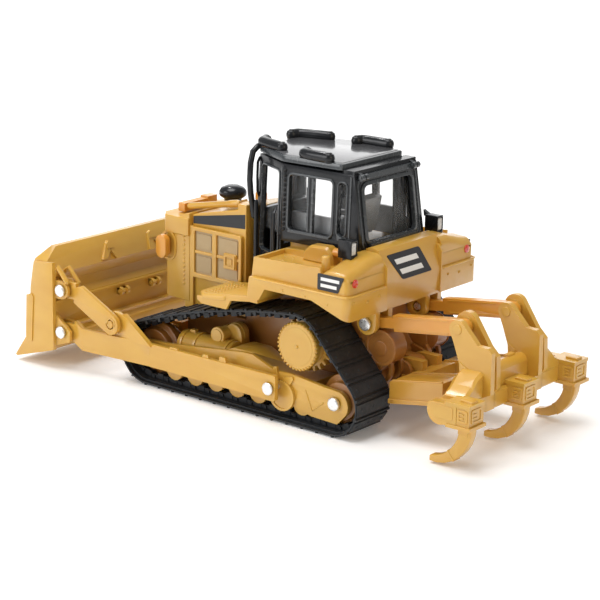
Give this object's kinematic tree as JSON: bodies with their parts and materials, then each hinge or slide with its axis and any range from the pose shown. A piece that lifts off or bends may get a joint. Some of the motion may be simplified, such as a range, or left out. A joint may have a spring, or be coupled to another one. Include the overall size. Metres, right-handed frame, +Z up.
{
  "type": "toy bulldozer",
  "caption": "Die-cast style toy crawler bulldozer with glazed cab, open-sided tracks with turning wheels, lifting front blade and a rear ripper on a parallel linkage.",
  "frame": {"origin": "centre of the overall box's base, on the surface the tracks stand on", "axes": "+Z up; +Y towards the rear (ripper), -Y towards the blade; +X the machine's left side"},
  "size_m": [0.0498, 0.1112, 0.0512],
  "materials": {
    "yellow_plastic": "satin moulded plastic",
    "orange_plastic": "satin moulded plastic, slightly translucent",
    "track_rubber": "soft matt",
    "black_plastic": "glossy",
    "clear_plastic": "polished clear moulding",
    "pin_steel": "bright plated",
    "red_lens": "glossy"
  },
  "bodies": {
    "machine": {"chassis": "yellow_plastic", "hood": "yellow_plastic", "radiator_guard": "yellow_plastic", "radiator_grille": "black_plastic", "hood_pipe": "orange_plastic", "hood_rail": "orange_plastic", "pre_cleaner": "black_plastic", "exhaust_stub": "orange_plastic", "rear_body": "yellow_plastic", "cab_frame": "black_plastic", "cab_roof": "black_plastic", "cab_glazing": "clear_plastic", "operator_seat": "black_plastic", "control_console": "black_plastic", "ripper_hitch_pin": "pin_steel", "engine_door_left": "yellow_plastic", "engine_door_right": "yellow_plastic", "lift_trunnion_left": "orange_plastic", "lift_trunnion_right": "orange_plastic", "work_lamp_left": "black_plastic", "work_lamp_right": "black_plastic", "tail_lamp_left": "red_lens", "tail_lamp_right": "red_lens", "track_frame_left": "yellow_plastic", "track_frame_right": "yellow_plastic", "track_belt_left": "track_rubber", "track_belt_right": "track_rubber", "front_idler_pin_left": "pin_steel", "front_idler_pin_right": "pin_steel", "rear_idler_pin_left": "pin_steel", "rear_idler_pin_right": "pin_steel", "arm_pivot_pin_left": "pin_steel", "arm_pivot_pin_right": "pin_steel", "ripper_root_pin_left": "pin_steel", "ripper_root_pin_right": "pin_steel"},
    "sprocket_left": {"sprocket_left": "yellow_plastic"},
    "front_idler_left": {"front_idler_left": "yellow_plastic"},
    "rear_idler_left": {"rear_idler_left": "yellow_plastic"},
    "sprocket_right": {"sprocket_right": "yellow_plastic"},
    "front_idler_right": {"front_idler_right": "yellow_plastic"},
    "rear_idler_right": {"rear_idler_right": "yellow_plastic"},
    "blade": {"blade": "yellow_plastic", "push_arm_left": "yellow_plastic", "push_arm_right": "yellow_plastic", "blade_brace_left": "yellow_plastic", "blade_brace_right": "yellow_plastic", "blade_upper_pin_left": "pin_steel", "blade_upper_pin_right": "pin_steel", "blade_lower_pin_left": "pin_steel", "blade_lower_pin_right": "pin_steel"},
    "ripper_frame": {"ripper_frame": "yellow_plastic"},
    "ripper_carrier": {"ripper_beam": "orange_plastic", "ripper_shank_left": "orange_plastic", "ripper_shank_centre": "orange_plastic", "ripper_shank_right": "orange_plastic", "ripper_ear_pin_left": "orange_plastic", "ripper_ear_pin_right": "orange_plastic"},
    "ripper_links": {"ripper_link_left": "orange_plastic", "ripper_link_right": "orange_plastic"}
  },
  "joints": [
    {"name": "sprocket_left_spin", "type": "hinge", "parent": "machine", "child": "sprocket_left", "pos_m": [0.014, 0.01445, 0.0156], "axis": [1, 0, 0], "continuous": true},
    {"name": "front_idler_left_spin", "type": "hinge", "parent": "machine", "child": "front_idler_left", "pos_m": [0.014, -0.02375, 0.0068], "axis": [1, 0, 0], "continuous": true},
    {"name": "rear_idler_left_spin", "type": "hinge", "parent": "machine", "child": "rear_idler_left", "pos_m": [0.014, 0.02355, 0.0063], "axis": [1, 0, 0], "continuous": true},
    {"name": "sprocket_right_spin", "type": "hinge", "parent": "machine", "child": "sprocket_right", "pos_m": [-0.014, 0.01445, 0.0156], "axis": [1, 0, 0], "continuous": true},
    {"name": "front_idler_right_spin", "type": "hinge", "parent": "machine", "child": "front_idler_right", "pos_m": [-0.014, -0.02375, 0.0068], "axis": [1, 0, 0], "continuous": true},
    {"name": "rear_idler_right_spin", "type": "hinge", "parent": "machine", "child": "rear_idler_right", "pos_m": [-0.014, 0.02355, 0.0063], "axis": [1, 0, 0], "continuous": true},
    {"name": "blade_lift", "type": "hinge", "parent": "machine", "child": "blade", "pos_m": [0, 0.00965, 0.0069], "axis": [-1, 0, 0], "range_deg": [-0.5, 18]},
    {"name": "ripper_lift", "type": "hinge", "parent": "machine", "child": "ripper_frame", "pos_m": [0, 0.02845, 0.0103], "axis": [1, 0, 0], "range_deg": [0, 14]},
    {"name": "ripper_carrier_turn", "type": "hinge", "parent": "ripper_frame", "child": "ripper_carrier", "pos_m": [0, 0.04845, 0.013], "axis": [1, 0, 0], "range_deg": [-14, 0]},
    {"name": "ripper_link_swing", "type": "hinge", "parent": "machine", "child": "ripper_links", "pos_m": [0, 0.02445, 0.0203], "axis": [1, 0, 0], "range_deg": [0, 14]}
  ],
  "couplings": [
    {"joint": "ripper_carrier_turn", "follows": "ripper_lift", "ratio": -1},
    {"joint": "ripper_link_swing", "follows": "ripper_lift", "ratio": 1},
    {"joint": "front_idler_left_spin", "follows": "sprocket_left_spin", "ratio": 1},
    {"joint": "rear_idler_left_spin", "follows": "sprocket_left_spin", "ratio": 1.0885},
    {"joint": "front_idler_right_spin", "follows": "sprocket_right_spin", "ratio": 1},
    {"joint": "rear_idler_right_spin", "follows": "sprocket_right_spin", "ratio": 1.0885}
  ]
}
